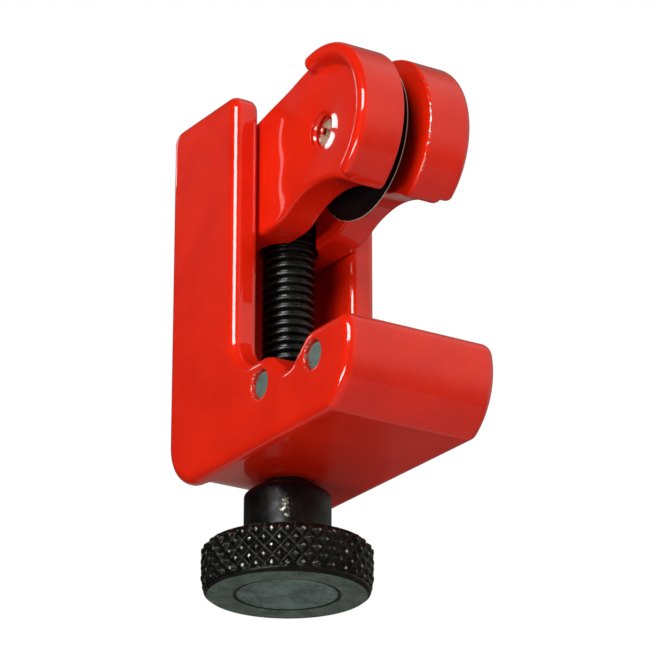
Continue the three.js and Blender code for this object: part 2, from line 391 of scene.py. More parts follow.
def tube_grid(points: Sequence[tuple[float, float]], around: int, spacing: float, ease: float) -> tuple[Array, Array]:
    """Turns a closed profile that doesn't touch its axis, such as a roller with a bore.

    Args:
        points: The profile's corners, up the outside and down the bore.
        around: Number of columns.
        spacing: Greatest length of a face along the profile.
        ease: Size of the eased corners.

    Returns:
        Vertices and faces.
    """
    closed = [*points, points[0]]
    start = tuple((np.array(points[-1]) + np.array(points[0])) / 2)
    ring = [start, *closed[:-1], start]
    line = resampled(eased(ring, ease), spacing)[:-1]
    angle = TURN * np.arange(around) / around
    vertices = np.stack(
        [line[:, :1] * np.cos(angle), line[:, :1] * np.sin(angle), np.repeat(line[:, 1:], around, 1)], -1
    ).reshape(-1, 3)
    i, j = np.meshgrid(np.arange(len(line)), np.arange(around), indexing="ij")
    up, right = (i + 1) % len(line), (j + 1) % around
    quads = np.stack([i * around + j, i * around + right, up * around + right, up * around + j], -1)
    return vertices, quads.reshape(-1, 4).tolist()


def laid_across(vertices: Array, x: float, z: float) -> Array:
    """Lays a piece drawn about +Z along +Y instead, with its axis at the given X and Z, without mirroring it."""
    return np.stack([vertices[:, 0] + x, vertices[:, 2], z - vertices[:, 1]], -1)


def new_piece(
    name: str, vertices: Array, faces: Sequence[Sequence[int]], normals: Array | None = None
) -> Piece:
    """Makes a smooth-shaded mesh object at the origin from vertices in millimetres.

    Args:
        name: Name of the piece.
        vertices: One row for each vertex.
        faces: Vertex numbers of each face.
        normals: Outward normals of the vertices, where they are known exactly.

    Returns:
        The object, linked into the scene.
    """
    mesh = bpy.data.meshes.new(name)
    mesh.from_pydata((vertices * MM).tolist(), [], faces.tolist() if isinstance(faces, np.ndarray) else faces)
    mesh.polygons.foreach_set("use_smooth", np.ones(len(mesh.polygons), dtype=bool))
    mesh.update()
    if normals is not None:
        mesh.normals_split_custom_set_from_vertices(normals.tolist())
    piece = bpy.data.objects.new(name, mesh)
    bpy.context.scene.collection.objects.link(piece)
    return piece


def paint_mask(piece: Piece, name: str, values: Array) -> None:
    """Stores one number for each vertex as an attribute that a material can read."""
    layer = piece.data.attributes.new(name, "FLOAT", "POINT")
    layer.data.foreach_set("value", values.astype(np.float32))


# ---------------------------------------------------------------- shader sheets
@dataclass
class Sheet:
    """A node tree that is filled in one node at a time."""

    tree: Tree

    def add(self, kind: str, inputs: dict[str | int, object] | None = None, **settings: object) -> Node:
        """Adds a node, sets its options, and sets or links its inputs.

        Args:
            kind: Blender's type name of the node.
            inputs: A value or an output socket for each input, by name or number.
            **settings: Options of the node itself.

        Returns:
            The node.
        """
        node = self.tree.nodes.new(kind)
        for key, value in settings.items():
            setattr(node, key, value)
        for key, value in (inputs or {}).items():
            if isinstance(value, Socket):
                self.tree.links.new(value, node.inputs[key])
            else:
                node.inputs[key].default_value = value
        return node

    def group(self, tree: Tree, values: dict[str, object]) -> Node:
        """Places a shared effect with its own values."""
        return self.add("ShaderNodeGroup", values, node_tree=tree)

    def feed(self, output: Socket, shader: Node, name: str) -> None:
        """Links an output to one of a shader's sockets."""
        self.tree.links.new(output, shader.inputs[name])

    def maths(self, operation: str, first: object, second: object = 0.0, third: object = 0.0) -> Socket:
        """Adds a maths node and returns its output."""
        return self.add("ShaderNodeMath", {0: first, 1: second, 2: third}, operation=operation).outputs[0]

    def blend(self, share: object, first: object, second: object) -> Socket:
        """Mixes two colours by a share and returns the colour."""
        return self.add("ShaderNodeMix", {0: share, 6: first, 7: second}, data_type="RGBA").outputs[2]

    def between(self, share: object, first: object, second: object) -> Socket:
        """Mixes two numbers by a share and returns the number."""
        return self.add("ShaderNodeMix", {0: share, 2: first, 3: second}).outputs[0]

    def ramp(
        self, value: object, low: float, high: float, to_low: float = 0.0, to_high: float = 1.0
    ) -> Socket:
        """Maps a range of values smoothly onto another.

        Args:
            value: The value.
            low: Where the range starts.
            high: Where the range ends.
            to_low: Result at and before the start.
            to_high: Result at and after the end.

        Returns:
            The result.
        """
        node = self.add(
            "ShaderNodeMapRange",
            {"Value": value, "From Min": low, "From Max": high, "To Min": to_low, "To Max": to_high},
            interpolation_type="SMOOTHSTEP",
        )
        return node.outputs[0]

    def place(self) -> Socket:
        """Position on the piece, in metres."""
        return self.add("ShaderNodeTexCoord").outputs["Object"]

    def noise(self, scale: object, detail: float = 2.0, place: object = None) -> Socket:
        """Noise of a number of lumps to the metre, from 0 to 1."""
        where = self.place() if place is None else place
        return self.add("ShaderNodeTexNoise", {"Vector": where, "Scale": scale, "Detail": detail}).outputs[0]

    def mask(self, name: str) -> Socket:
        """One of the piece's own stored numbers."""
        return self.add("ShaderNodeAttribute", attribute_name=name).outputs["Fac"]


def srgb(red: int, green: int, blue: int) -> tuple[float, float, float, float]:
    """Turns display values into a linear colour.

    Formula: the sRGB curve, a straight part up to 0.04045 and a power of 2.4 above it.

    Args:
        red: Red from 0 to 255.
        green: Green from 0 to 255.
        blue: Blue from 0 to 255.

    Returns:
        Linear red, green, blue and an alpha of one.
    """
    parts = [c / 255 for c in (red, green, blue)]
    linear = [c / 12.92 if c <= 0.04045 else ((c + 0.055) / 1.055) ** 2.4 for c in parts]
    return linear[0], linear[1], linear[2], 1.0


class Effects:
    """Shader node groups that several finishes share, each built once."""

    def __init__(self) -> None:
        """Builds the groups."""
        self.mottle = self._mottle()
        self.flecks_group = self._build_flecks()
        self.relief = self._relief()

    @staticmethod
    def _start(
        name: str, given: dict[str, tuple[str, object]], wanted: dict[str, str]
    ) -> tuple[Sheet, Node, Node]:
        """Starts a group with named sockets.

        Args:
            name: Name of the group.
            given: Socket type and first value of each input.
            wanted: Socket type of each output.

        Returns:
            The group's sheet, its input node and its output node.
        """
        tree = bpy.data.node_groups.new(name, "ShaderNodeTree")
        for label, (kind, value) in given.items():
            tree.interface.new_socket(label, in_out="INPUT", socket_type=kind).default_value = value
        for label, kind in wanted.items():
            tree.interface.new_socket(label, in_out="OUTPUT", socket_type=kind)
        sheet = Sheet(tree)
        return sheet, sheet.add("NodeGroupInput"), sheet.add("NodeGroupOutput")

    def _mottle(self) -> Tree:
        """Builds uneven tone, a broad drift and a fine speckle between two colours.

        Returns:
            The group.
        """
        sheet, start, end = self._start(
            "uneven_tone",
            {
                "Light": ("NodeSocketColor", (1, 1, 1, 1)),
                "Dark": ("NodeSocketColor", (0, 0, 0, 1)),
                "Broad Scale": ("NodeSocketFloat", 200.0),
                "Fine Scale": ("NodeSocketFloat", 2000.0),
                "Fine Share": ("NodeSocketFloat", 0.3),
            },
            {"Color": "NodeSocketColor"},
        )
        place = sheet.place()
        broad = sheet.noise(start.outputs["Broad Scale"], 3.0, place)
        fine = sheet.noise(start.outputs["Fine Scale"], 4.0, place)
        share = sheet.ramp(sheet.between(start.outputs["Fine Share"], broad, fine), 0.32, 0.68)
        sheet.feed(sheet.blend(share, start.outputs["Dark"], start.outputs["Light"]), end, "Color")
        return sheet.tree

    def _build_flecks(self) -> Tree:
        """Builds bright flecks, a stored crest value broken up by noise, which stand for wear and, on the knob, partly
        for painted glints and a painted highlight.

        Returns:
            The group.
        """
        sheet, start, end = self._start(
            "bright_crest_flecks",
            {
                "Crest": ("NodeSocketFloat", 0.0),
                "Amount": ("NodeSocketFloat", 0.5),
                "Fleck Scale": ("NodeSocketFloat", 1500.0),
            },
            {"Mask": "NodeSocketFloat"},
        )
        noise = sheet.noise(start.outputs["Fleck Scale"], 3.0)
        lifted = sheet.maths("MULTIPLY", start.outputs["Crest"], start.outputs["Amount"])
        level = sheet.maths("ADD", lifted, sheet.maths("SUBTRACT", noise, 0.5))
        sheet.feed(sheet.ramp(level, 0.45, 0.75), end, "Mask")
        return sheet.tree

    def _relief(self) -> Tree:
        """Builds fine surface relief, soft swells and a tighter grain, as a height.

        Returns:
            The group.
        """
        sheet, start, end = self._start(
            "fine_relief",
            {
                "Swell Scale": ("NodeSocketFloat", 300.0),
                "Grain Scale": ("NodeSocketFloat", 3000.0),
                "Grain Share": ("NodeSocketFloat", 0.2),
            },
            {"Height": "NodeSocketFloat"},
        )
        place = sheet.place()
        swell = sheet.noise(start.outputs["Swell Scale"], 1.0, place)
        grain = sheet.noise(start.outputs["Grain Scale"], 2.0, place)
        sheet.feed(sheet.between(start.outputs["Grain Share"], swell, grain), end, "Height")
        return sheet.tree


def start_finish(name: str) -> tuple[Material, Sheet, Node]:
    """Makes a material with a plain shader.

    Args:
        name: Name of the material.

    Returns:
        The material, its sheet and its Principled shader.
    """
    material = bpy.data.materials.new(name)
    material.use_nodes = True
    material.node_tree.nodes.clear()
    sheet = Sheet(material.node_tree)
    shader = sheet.add("ShaderNodeBsdfPrincipled")
    sheet.add("ShaderNodeOutputMaterial", {"Surface": shader.outputs[0]})
    return material, sheet, shader


def raise_relief(sheet: Sheet, shader: Node, effects: Effects, scales: Scales, depth: float) -> None:
    """Gives a shader fine relief.

    Args:
        sheet: Sheet of the material.
        shader: The shader.
        effects: The shared node groups.
        scales: Lumps to the metre of the swells and of the grain, and the grain's share.
        depth: Height of the relief in metres.
    """
    relief = sheet.group(effects.relief, dict(zip(("Swell Scale", "Grain Scale", "Grain Share"), scales)))
    bump = sheet.add("ShaderNodeBump", {"Strength": 1.0, "Distance": depth, "Height": relief.outputs["Height"]})
    sheet.feed(bump.outputs[0], shader, "Normal")


def uneven(sheet: Sheet, effects: Effects, light: Tint, dark: Tint, scales: Scales) -> Socket:
    """Gives a colour that drifts between two tones.

    Args:
        sheet: Sheet of the material.
        effects: The shared node groups.
        light: Lighter tone.
        dark: Darker tone.
        scales: Lumps to the metre of the drift and of the speckle, and the speckle's share.

    Returns:
        The colour.
    """
    values = dict(zip(("Broad Scale", "Fine Scale", "Fine Share"), scales))
    return sheet.group(effects.mottle, {"Light": srgb(*light), "Dark": srgb(*dark), **values}).outputs["Color"]


@dataclass(frozen=True)
class Enamel:
    """Glossy red stove enamel over a casting, with soft swells and chipped edges where a mask says so."""

    name: str
    light: Tint = (233, 36, 9)
    dark: Tint = (217, 29, 7)
    bare: Tint = (196, 190, 178)
    coat_roughness: float = 0.035
    coat_ior: float = 1.58
    under_coat_shine: float = 0.06
    swell_depth: float = 0.000010

    def build(self, effects: Effects) -> Material:
        """Builds the material.

        Args:
            effects: The shared node groups.

        Returns:
            The material.
        """
        material, sheet, shader = start_finish(self.name)
        tone = uneven(sheet, effects, self.light, self.dark, (120.0, 2600.0, 0.25))
        flecks = sheet.ramp(sheet.noise(3200.0), 0.56, 0.63)
        chip = sheet.maths("MULTIPLY", sheet.mask("chips"), flecks)
        sheet.feed(sheet.blend(chip, tone, srgb(*self.bare)), shader, "Base Color")
        sheet.feed(chip, shader, "Metallic")
        sheet.feed(sheet.ramp(sheet.noise(500.0), 0.3, 0.7, 0.30, 0.40), shader, "Roughness")
        sheet.feed(sheet.maths("SUBTRACT", 1.0, chip), shader, "Coat Weight")
        shader.inputs["Coat Roughness"].default_value = self.coat_roughness
        shader.inputs["Coat IOR"].default_value = self.coat_ior
        shader.inputs["Specular IOR Level"].default_value = self.under_coat_shine
        raise_relief(sheet, shader, effects, (420.0, 4200.0, 0.05), self.swell_depth)
        return material


@dataclass(frozen=True)
class BlackOxide:
    """Oiled black oxide on turned steel, lightened towards bare metal where a crest mask says so: wear on the crests,
    and on the knob partly painted glints on the knurl and a painted highlight on the hub.
    """

    name: str
    light: Tint = (46, 46, 43)
    dark: Tint = (17, 17, 16)
    lightened: Tint = (190, 194, 176)
    lighten_amount: float = 0.35
    roughness: float = 0.34
    metallic: float = 0.75
    sheen: float = 0.5
    face: tuple[Tint, Tint] = ((104, 118, 107), (52, 62, 55))
    brushed: tuple[Tint, Tint] = ((112, 131, 126), (64, 78, 74))
    face_roughness: float = 0.62
    face_metallic: float = 0.25
    relief_depth: float = 0.000012

    def build(self, effects: Effects) -> Material:
        """Builds the material.

        Args:
            effects: The shared node groups.

        Returns:
            The material.
        """
        material, sheet, shader = start_finish(self.name)
        tone = uneven(sheet, effects, self.light, self.dark, (500.0, 5200.0, 0.45))
        # On the knob this lightening is partly painted glints on the knurl tips and a painted highlight on the hub;
        # elsewhere it is wear.
        lighten_mask = sheet.group(
            effects.flecks_group, {"Crest": sheet.mask("crest"), "Amount": self.lighten_amount, "Fleck Scale": 2600.0}
        ).outputs["Mask"]
        end = sheet.mask("end_face")
        face = uneven(sheet, effects, *self.face, (420.0, 3600.0, 0.55))
        brushed = uneven(sheet, effects, *self.brushed, (260.0, 1600.0, 0.4))
        oxide = sheet.blend(end, tone, sheet.blend(sheet.mask("brushed"), face, brushed))
        sheet.feed(sheet.blend(lighten_mask, oxide, srgb(*self.lightened)), shader, "Base Color")
        base = sheet.ramp(sheet.noise(900.0, 3.0), 0.3, 0.7, self.roughness - 0.06, self.roughness + 0.1)
        sheet.feed(sheet.between(end, base, self.face_roughness), shader, "Roughness")
        sheet.feed(sheet.between(end, self.metallic, self.face_metallic), shader, "Metallic")
        shader.inputs["Specular IOR Level"].default_value = self.sheen
        raise_relief(sheet, shader, effects, (1500.0, 6500.0, 0.5), self.relief_depth)
        return material


@dataclass(frozen=True)
class BareMetal:
    """Turned or ground metal with fine tool marks, for pins, rollers and the axle screw."""

    name: str
    light: Tint
    dark: Tint
    roughness: float
    metallic: float = 1.0
    bright: Tint = (226, 228, 222)
    bright_roughness: float = 0.2
    relief_depth: float = 0.000006

    def build(self, effects: Effects) -> Material:
        """Builds the material.

        Args:
            effects: The shared node groups.

        Returns:
            The material.
        """
        material, sheet, shader = start_finish(self.name)
        tone = uneven(sheet, effects, self.light, self.dark, (900.0, 5000.0, 0.5))
        crest = sheet.mask("crest")
        sheet.feed(sheet.blend(crest, tone, srgb(*self.bright)), shader, "Base Color")
        base = sheet.ramp(sheet.noise(1600.0, 3.0), 0.3, 0.7, self.roughness - 0.05, self.roughness + 0.08)
        sheet.feed(sheet.between(crest, base, self.bright_roughness), shader, "Roughness")
        sheet.feed(sheet.between(crest, self.metallic, 1.0), shader, "Metallic")
        raise_relief(sheet, shader, effects, (1800.0, 8000.0, 0.6), self.relief_depth)
        return material


class Finish(Enum):
    """The finishes of the cutter."""

    RED = Enamel("red_enamel")
    SCREW = BlackOxide("oiled_screw", light=(60, 64, 63), dark=(18, 19, 19), lighten_amount=0.35, roughness=0.3)
    KNOB = BlackOxide("knob_oxide", light=(40, 40, 38), dark=(14, 14, 13), lighten_amount=0.56)
    WHEEL = BlackOxide(
        "wheel_oxide", light=(14, 13, 14), dark=(7, 6, 7), lighten_amount=1.1, roughness=0.5, metallic=0.0, sheen=0.12
    )
    PIN = BareMetal("pin_steel", (118, 138, 130), (84, 104, 97), 0.5, metallic=0.35)
    ROLLER = BareMetal("roller_steel", (176, 178, 176), (128, 130, 130), 0.3)
    AXLE = BareMetal("yellow_zinc", (232, 230, 204), (158, 152, 112), 0.3, metallic=0.55)


# ---------------------------------------------------------------- sub-assemblies
def place_piece(piece: Piece, material: Material, body: str, node: str) -> None:
    """Gives a piece its finish and its body, and hides the CAD node that it stands for.

    Args:
        piece: The piece.
        material: Its finish.
        body: The body that it moves with.
        node: The CAD node that it replaces, hidden by name.
    """
    piece.data.materials.append(material)
    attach(piece, body)
    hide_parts(node)
    LOG.info("%s: %d faces, on body %s, for node %s", piece.name, len(piece.data.polygons), body, node)


@dataclass
class CastFrame:
    """The C-shaped enamelled casting: a channelled column, and a jaw with two roller pockets and two pins."""

    width: float = 19.0
    base_z: float = 12.8
    jaw_top: float = 22.97
    top_z: float = 56.9
    back_x: float = -10.4
    column_x: float = 3.6
    edge: float = 1.2
    back_wall: float = 3.2
    channel: float = 12.3
    fillet: float = 4.2
    nose_x: float = 18.7
    nose_z: float = 19.8
    nose_r: float = 8.2
    nose_low_r: float = 1.0
    nose_top_r: float = 1.8
    base_r: float = 5.5
    foot_r: float = 8.0
    foot_half: float = 7.4
    top_r: float = 1.8
    notch_x: float = 14.6
    notch_depth: float = 2.85
    notch_slope: float = 40.0
    notch_r: float = 2.0
    shoulder_r: float = 2.9
    roller_r: float = 4.0
    roller_half: float = 4.2
    pocket_half: float = 4.5
    pocket_r: float = 4.4
    pin_r: float = 1.5
    pin_hole_r: float = 1.66
    pin_half: float = 9.16
    pin_teeth: int = 26
    tooth_height: float = 0.11
    journal_hole_r: float = 2.5
    mark_z: float = 16.2
    mark_x: float = 15.75
    mark_r: float = 3.5
    mark_depth: float = 0.03
    mark_soft: float = 0.35
    lip_span: float = 1.3
    lip_drop: float = 2.0
    mouth_sharp: float = 0.04
    mouth_soft: float = 0.86
    cell: float = 0.27
    pins: tuple[tuple[str, str, float], ...] = (("rear", "rear_roller", 9.3), ("front", "front_roller", 19.9))
    outline: Outline = field(init=False)

    def __post_init__(self) -> None:
        """Works out the outline of the casting as seen from the side."""
        slope = math.radians(self.notch_slope)
        bend = self.notch_r + self.shoulder_r
        straight = (self.notch_depth - bend * (1 - math.cos(slope))) / math.sin(slope)
        reach = bend * math.sin(slope) + straight * math.cos(slope)
        low_z = self.base_z + self.nose_low_r
        low_dx = math.sqrt((self.nose_r - self.nose_low_r) ** 2 - (self.nose_z - low_z) ** 2)
        high_z = self.jaw_top - self.nose_top_r
        high_dx = math.sqrt((self.nose_r - self.nose_top_r) ** 2 - (high_z - self.nose_z) ** 2)
        nose_from = math.degrees(math.atan2(low_z - self.nose_z, low_dx))
        nose_to = math.degrees(math.atan2(high_z - self.nose_z, high_dx))
        shoulder_z = self.jaw_top - self.shoulder_r
        a = self.notch_slope
        self.outline = Outline(
            [
                Arc(self.back_x + self.base_r, self.base_z + self.base_r, self.base_r, 180, 270),
                Arc(self.nose_x + low_dx, low_z, self.nose_low_r, -90, nose_from),
                Arc(self.nose_x, self.nose_z, self.nose_r, nose_from, nose_to),
                Arc(self.nose_x + high_dx, high_z, self.nose_top_r, nose_to, 90),
                Arc(self.notch_x + reach, shoulder_z, self.shoulder_r, 90, 90 + a),
                Arc(self.notch_x, self.jaw_top - self.notch_depth + self.notch_r, self.notch_r, a - 90, -90 - a),
                Arc(self.notch_x - reach, shoulder_z, self.shoulder_r, 90 - a, 90),
                Arc(self.column_x + self.fillet, self.jaw_top + self.fillet, self.fillet, -90, -180),
                Arc(self.column_x - self.top_r, self.top_z - self.top_r, self.top_r, 0, 90),
                Arc(self.back_x + self.top_r, self.top_z - self.top_r, self.top_r, 90, 180),
            ]
        )

    def pocket(self, x: Array, y: Array, z: Array) -> Array:
        """Signed distance to the open pocket that holds both rollers, a trough with round ends below their axes.

        Args:
            x: X of the points.
            y: Y of the points.
            z: Z of the points.

        Returns:
            Signed distance.
        """
        half_run = (self.pins[1][2] - self.pins[0][2]) / 2
        out = np.abs(x - self.notch_x) - half_run
        low = np.hypot(np.maximum(out, 0.0), z - self.nose_z)
        flat = np.where(z > self.nose_z, out, low) - self.pocket_r
        return np.maximum(flat, np.abs(y) - self.pocket_half)

    def distance(self, x: Array, y: Array, z: Array) -> Array:
        """Signed distance to the casting.

        Formula: the outline given a thickness with rounded edges, with a faint ring pressed into its near side, less
        the channel, the roller pocket, the two pin holes and the hole for the screw's plain end. The back bottom
        corner has a greater radius in the middle than at the two side lips, and the channel's edge rounds more above
        the jaw than at its foot.

        Args:
            x: X of the points.
            y: Y of the points.
            z: Z of the points.

        Returns:
            Signed distance.
        """
        ring = np.hypot(x - self.mark_x, z - self.mark_z) - self.mark_r
        half = self.width / 2 - self.mark_depth * np.exp(-((ring / self.mark_soft) ** 2)) * (y < 0)
        dx, dz = x - self.back_x - self.foot_r, z - self.base_z - self.foot_r
        foot = np.where((dx < 0) & (dz < 0), np.hypot(dx, dz), 0.0) - self.foot_r
        lip = self.lip_drop * smoothed(np.abs(y), self.foot_half, self.lip_span)
        solid = plate(np.maximum(self.outline.distance(x, z), foot - lip), y, half, self.edge)
        side = self.channel / 2
        low = (self.back_x + self.back_wall, -side, self.jaw_top + 0.05)
        high = (self.column_x + self.fillet + 2.0, side, self.top_z + 8.0)
        mouth = self.mouth_sharp + self.mouth_soft * smoothed(z - self.jaw_top, 0.2, 2.5)
        solid = round_cut(solid, block(x, y, z, low, high, 0.8), mouth)
        solid = round_cut(solid, self.pocket(x, y, z), 0.4)
        for _, _, pin_x in self.pins:
            solid = round_cut(solid, np.hypot(x - pin_x, z - self.nose_z) - self.pin_hole_r, 0.12)
        bore = np.maximum(np.hypot(x, y) - self.journal_hole_r, z - self.jaw_top - 0.4)
        return round_cut(solid, bore, 0.3)

    def build(self, finishes: dict[Finish, Material]) -> None:
        """Builds the casting, its pins and its rollers.

        Args:
            finishes: The material of each finish.
        """
        low = (self.back_x, -self.width / 2, self.base_z)
        high = (self.nose_x + self.nose_r, self.width / 2, self.top_z)
        body = new_piece("cast_frame", *shell(self.distance, low, high, self.cell))
        co = coordinates(body)
        round_pins = np.zeros(len(co))
        for _, _, pin_x in self.pins:
            off = np.hypot(co[:, 0] - pin_x, co[:, 2] - self.nose_z)
            round_pins = np.maximum(round_pins, (off < self.pin_hole_r + 0.2) & (np.abs(co[:, 1]) > 9.2))
        paint_mask(body, "chips", round_pins * 0.9)
        place_piece(body, finishes[Finish.RED], "frame", "frame_body")
        for where, roller_body, x in self.pins:
            place_piece(self.pin(where, x), finishes[Finish.PIN], "frame", f"roller_pin_{where}")
            place_piece(self.roller(where, x), finishes[Finish.ROLLER], roller_body, f"roller_{where}")

    def pin(self, where: str, x: float) -> Piece:
        """A press-fit pin with a chamfered end and fine teeth round it.

        Formula: a chamfered profile turned about its axis, whose radius swells into teeth near the rim.

        Args:
            where: Which pin it is.
            x: X of its axis.

        Returns:
            The pin.
        """
        r, half, chamfer = self.pin_r, self.pin_half, 0.22
        around = 208
        low = [(0, -half), (r - chamfer, -half), (r, -half + chamfer)]
        high = [(r, half - chamfer), (r - chamfer, half), (0, half)]
        rows = resampled(eased([*low, *high], 0.05), 0.3)[1:-1]
        angle = TURN * np.arange(around) / around
        near_rim = np.clip((rows[:, :1] - (r - chamfer)) / chamfer, 0, 1)
        wave = np.cos(self.pin_teeth * angle)
        teeth = self.tooth_height * near_rim * np.maximum(wave, 0.0)
        vertices, faces = turned_grid(rows[:, :1] + teeth, np.broadcast_to(rows[:, 1:], teeth.shape), around)
        piece = new_piece(f"pin_{where}", laid_across(vertices, x, self.nose_z), faces)
        crest = np.concatenate([(near_rim * (0.35 + 0.65 * wave**2)).ravel(), [0.0, 0.0]])
        paint_mask(piece, "crest", np.clip(crest, 0, 1))
        return piece

    def roller(self, where: str, x: float) -> Piece:
        """A plain guide roller with chamfered ends and a bore.

        Args:
            where: Which roller it is.
            x: X of its axis.

        Returns:
            The roller.
        """
        r, half, bore = self.roller_r, self.roller_half, self.pin_r + 0.3
        line = [(bore, -half), (r - 0.4, -half), (r, -half + 0.4), (r, half - 0.4), (r - 0.4, half), (bore, half)]
        vertices, faces = tube_grid(line, 128, 0.5, 0.12)
        piece = new_piece(f"roller_{where}_turned", laid_across(vertices, x, self.nose_z), faces)
        paint_mask(piece, "crest", np.zeros(len(vertices)))
        return piece


def coordinates(piece: Piece) -> Array:
    """Reads a piece's vertices.

    Args:
        piece: The piece.

    Returns:
        The vertices in millimetres, one row each.
    """
    co = np.empty(len(piece.data.vertices) * 3, dtype=np.float64)
    piece.data.vertices.foreach_get("co", co)
    return co.reshape(-1, 3) / MM


@dataclass
class Carriage:
    """The sliding casting with its two round cheeks, the cutting wheel between them and the wheel's axle screw."""

    half: float = 5.85
    back_x: float = -6.9
    bottom_z: float = 40.2
    arm_point: tuple[float, float] = (3.9, 54.85)
    arm_rise: float = 12.8
    head_x: float = 16.7
    head_z: float = 48.1
    head_r: float = 9.6
    arch_x: float = 14.1
    arch_z: float = 30.15
    arch_r: float = 12.2
    arch_edge: float = 0.75
    rim: float = 1.9
    rim_half: float = 7.2
    rim_from: float = -57.0
    rim_to: float = 107.5
    slot_half: float = 1.65
    slot_up: float = 4.0
    wheel_x: float = 15.3
    wheel_z: float = 48.45
    wheel_r: float = 9.0
    wheel_hub_r: float = 4.5
    wheel_half: float = 1.35
    clear_r: float = 9.6
    axle_r: float = 2.5
    axle_hole_r: float = 2.8
    tip_hole_r: float = 2.0
    tip_r: float = 1.9
    head_hole_r: float = 4.3
    axle_head_r: float = 4.0
    screw_hole_r: float = 3.3
    pitch: float = 0.8
    axle_tip_y: float = -4.45
    axle_top_y: float = 5.8
    axle_shoulder_y: float = 3.85
    dish_depth: float = 0.5
    dish_r: float = 3.4
    trough_depth: float = 0.1
    trough_x: float = 8.6
    trough_soft: float = 2.4
    cell: float = 0.2

    def flat_body(self, x: Array, z: Array) -> Array:
        """Signed distance, in X and Z, to the arm and head: a block under a sloping line, a disc, less a round arch.

        Args:
            x: X of the points.
            z: Z of the points.

        Returns:
            Signed distance.
        """
        rise = math.radians(self.arm_rise)
        above = (z - self.arm_point[1]) * math.cos(rise) - (x - self.arm_point[0]) * math.sin(rise)
        arm = round_overlap(round_overlap(above, self.bottom_z - z, 0.8), self.back_x - x, 0.8)
        arm = np.maximum(arm, x - self.head_x + 1.6)
        core = np.hypot(x - self.head_x, z - self.head_z) - self.head_r + 1.5
        arm = np.minimum(arm, core)
        end = math.radians(self.rim_to)
        dx, dz = x - self.head_x, z - self.head_z
        disc = np.hypot(dx, dz) - self.head_r
        head = round_overlap(disc, dz * math.cos(end) - dx * math.sin(end), 0.5)
        arch = np.hypot(x - self.arch_x, z - self.arch_z) - self.arch_r
        blend = 0.03 + 0.37 * np.clip((14.4 - x) / 2.0, 0, 1)
        return round_cut(round_join(arm, head, blend), arch, self.arch_edge)

    def rim_solid(self, x: Array, y: Array, z: Array) -> Array:
        """Signed distance to the raised rim: a ring with round edges, cut off at its two ends.

        Args:
            x: X of the points.
            y: Y of the points.
            z: Z of the points.

        Returns:
            Signed distance.
        """
        dx, dz = x - self.head_x, z - self.head_z
        ring = np.abs(np.hypot(dx, dz) - self.head_r + self.rim / 2) - self.rim / 2
        for degrees, turn in ((self.rim_from, -1.0), (self.rim_to, 1.0)):
            a = math.radians(degrees)
            ring = round_overlap(ring, turn * (dz * math.cos(a) - dx * math.sin(a)), 0.85)
        return round_overlap(ring, np.abs(y) - self.rim_half, 0.9)

    def distance(self, x: Array, y: Array, z: Array) -> Array:
        """Signed distance to the carriage.

        Formula: the arm and head as a rounded plate, joined to the raised rim with a small fillet, less the wheel's
        slot, the threaded and counterbored axle hole and the hole for the feed screw. The plate's sides are dished
        round the axle, and have a shallow upright trough, of uneven depth, in front of the column.

        Args:
            x: X of the points.
            y: Y of the points.
            z: Z of the points.

        Returns:
            Signed distance.
        """
        from_axle = np.hypot(x - self.wheel_x, z - self.wheel_z)
        flat = self.flat_body(x, z)
        depth = self.trough_depth * (0.75 + 0.25 * np.sin(1.15 * (z - 42.5)))
        dish = self.dish_depth * np.exp(-((from_axle / self.dish_r) ** 2))
        dish = dish + depth * np.exp(-(((x - self.trough_x) / self.trough_soft) ** 2))
        solid = plate(flat, y, self.half - dish, 0.65)
        foot = round_join(plate(flat + 1.0, y, self.half - dish, 0.2), self.rim_solid(x, y, z), 0.5)
        solid = np.minimum(solid, foot)
        gap = np.maximum(np.maximum(-x, x - self.wheel_x), z - self.bottom_z - self.slot_up)
        gap = np.minimum(np.minimum(from_axle - self.clear_r, self.wheel_x - x), gap)
        solid = round_cut(solid, np.maximum(gap, np.abs(y) - self.slot_half), 0.3)
        around = np.arctan2(z - self.wheel_z, x - self.wheel_x)
        thread = 0.15 * np.cos(TURN * y / self.pitch - around)
        near, far = from_axle - self.tip_hole_r - thread, from_axle - self.axle_hole_r
        solid = round_cut(solid, np.where(y < 0, near, far), np.where(y < 0, 0.25, 0.4))
        sink = np.maximum(from_axle - self.head_hole_r, self.half - 2.3 - y)
        solid = round_cut(solid, sink, 0.3)
        return round_cut(solid, np.hypot(x, y) - self.screw_hole_r, 0.4)

    def build(self, finishes: dict[Finish, Material]) -> None:
        """Builds the carriage, the wheel and the axle screw.

        Args:
            finishes: The material of each finish.
        """
        low = (self.back_x, -self.rim_half, self.bottom_z - 0.4)
        high = (self.head_x + self.head_r, self.rim_half, self.head_z + self.head_r)
        body = new_piece("cast_carriage", *shell(self.distance, low, high, self.cell))
        co = coordinates(body)
        from_head = np.hypot(co[:, 0] - self.head_x, co[:, 2] - self.head_z)
        angle = np.degrees(np.arctan2(co[:, 2] - self.head_z, co[:, 0] - self.head_x))
        corner = (np.abs(co[:, 1] - self.slot_half - 0.1) < 0.09) & (from_head > self.head_r - 0.22)
        fade = np.clip((angle + 50) / 15, 0, 1) * np.clip((42 - angle) / 15, 0, 1)
        paint_mask(body, "chips", corner * fade)
        place_piece(body, finishes[Finish.RED], "slide", "carriage")
        place_piece(self.wheel(), finishes[Finish.WHEEL], "wheel", "cutting_wheel")
        place_piece(self.axle_screw(), finishes[Finish.AXLE], "slide", "wheel_axle_screw")

